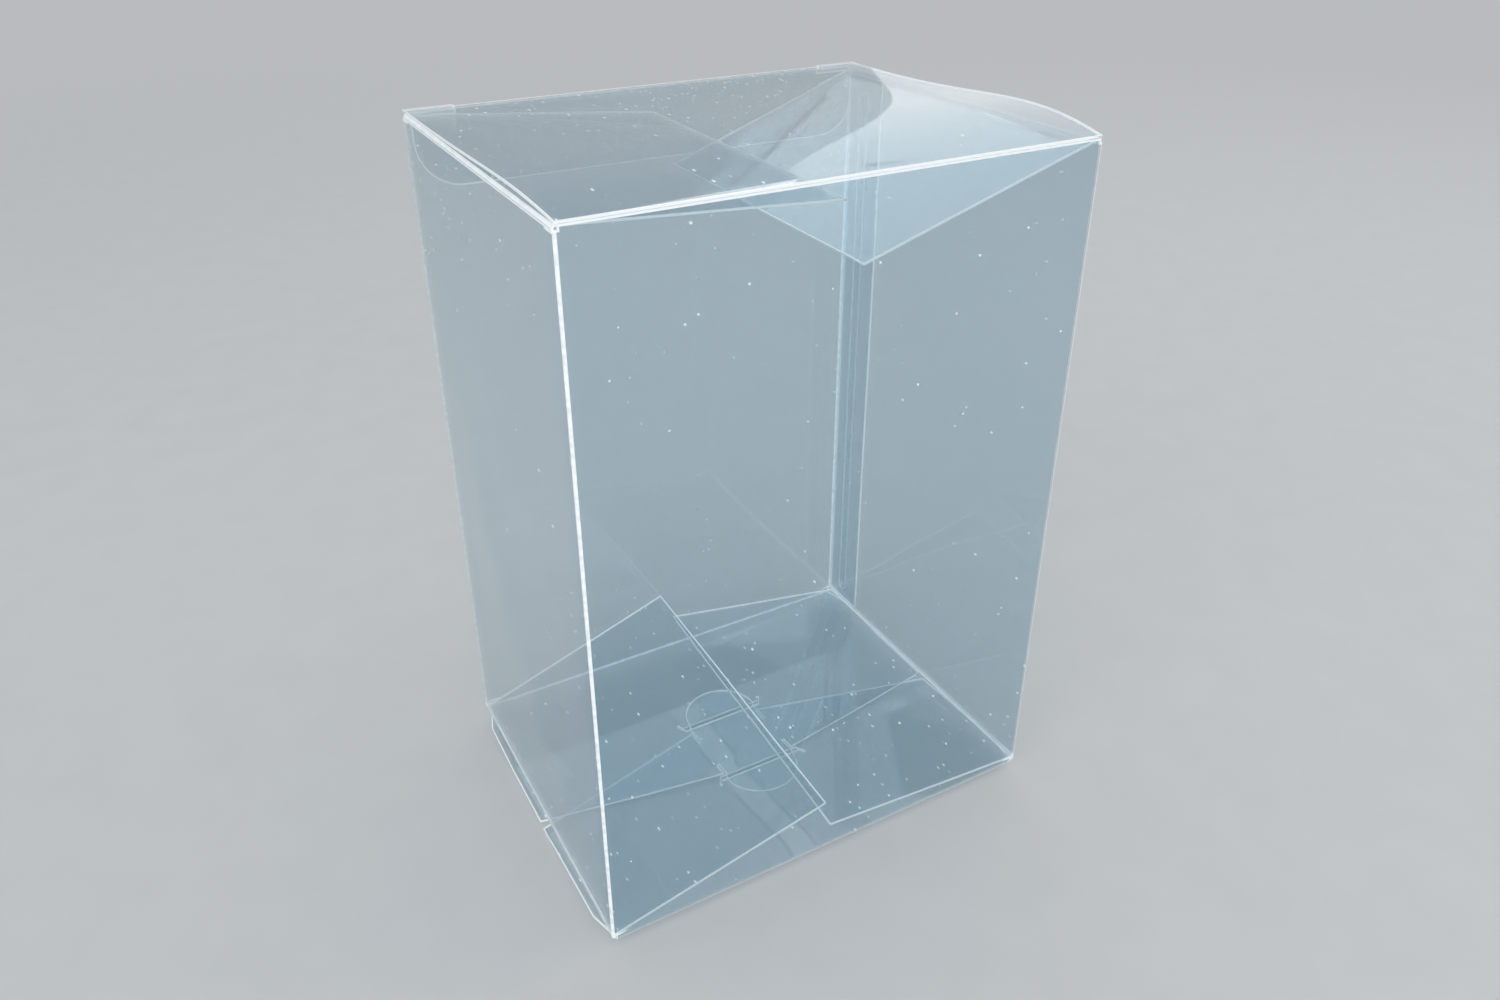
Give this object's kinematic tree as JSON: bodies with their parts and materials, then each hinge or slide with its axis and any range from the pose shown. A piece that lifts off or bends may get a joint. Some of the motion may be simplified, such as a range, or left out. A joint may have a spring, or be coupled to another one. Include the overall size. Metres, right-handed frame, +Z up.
{
  "type": "figure box protector",
  "caption": "Clear folded film carton with a tuck lid and an interlocking bottom, that sleeves a boxed figure to keep it clean and unworn.",
  "frame": {"origin": "middle of the footprint, on the surface that the box stands on", "axes": "+Z up along the walls, +Y from the front wall with the lid's crease to the back wall, +X to the right seen from the front"},
  "size_m": [0.1182, 0.09, 0.1708],
  "materials": {
    "clear_film": "clear glossy polyester film with a cool tint, pale at creases and cut edges",
    "clear_glue": "clear hot-melt bead, satin"
  },
  "bodies": {
    "carton": {"carton": "clear_film", "seam_glue": "clear_glue"},
    "lid": {"lid": "clear_film"}
  },
  "joints": [
    {"name": "lid_hinge", "type": "hinge", "parent": "carton", "child": "lid", "pos_m": [0, -0.0448, 0.168], "axis": [1, 0, 0], "range_deg": [0, 180]}
  ]
}
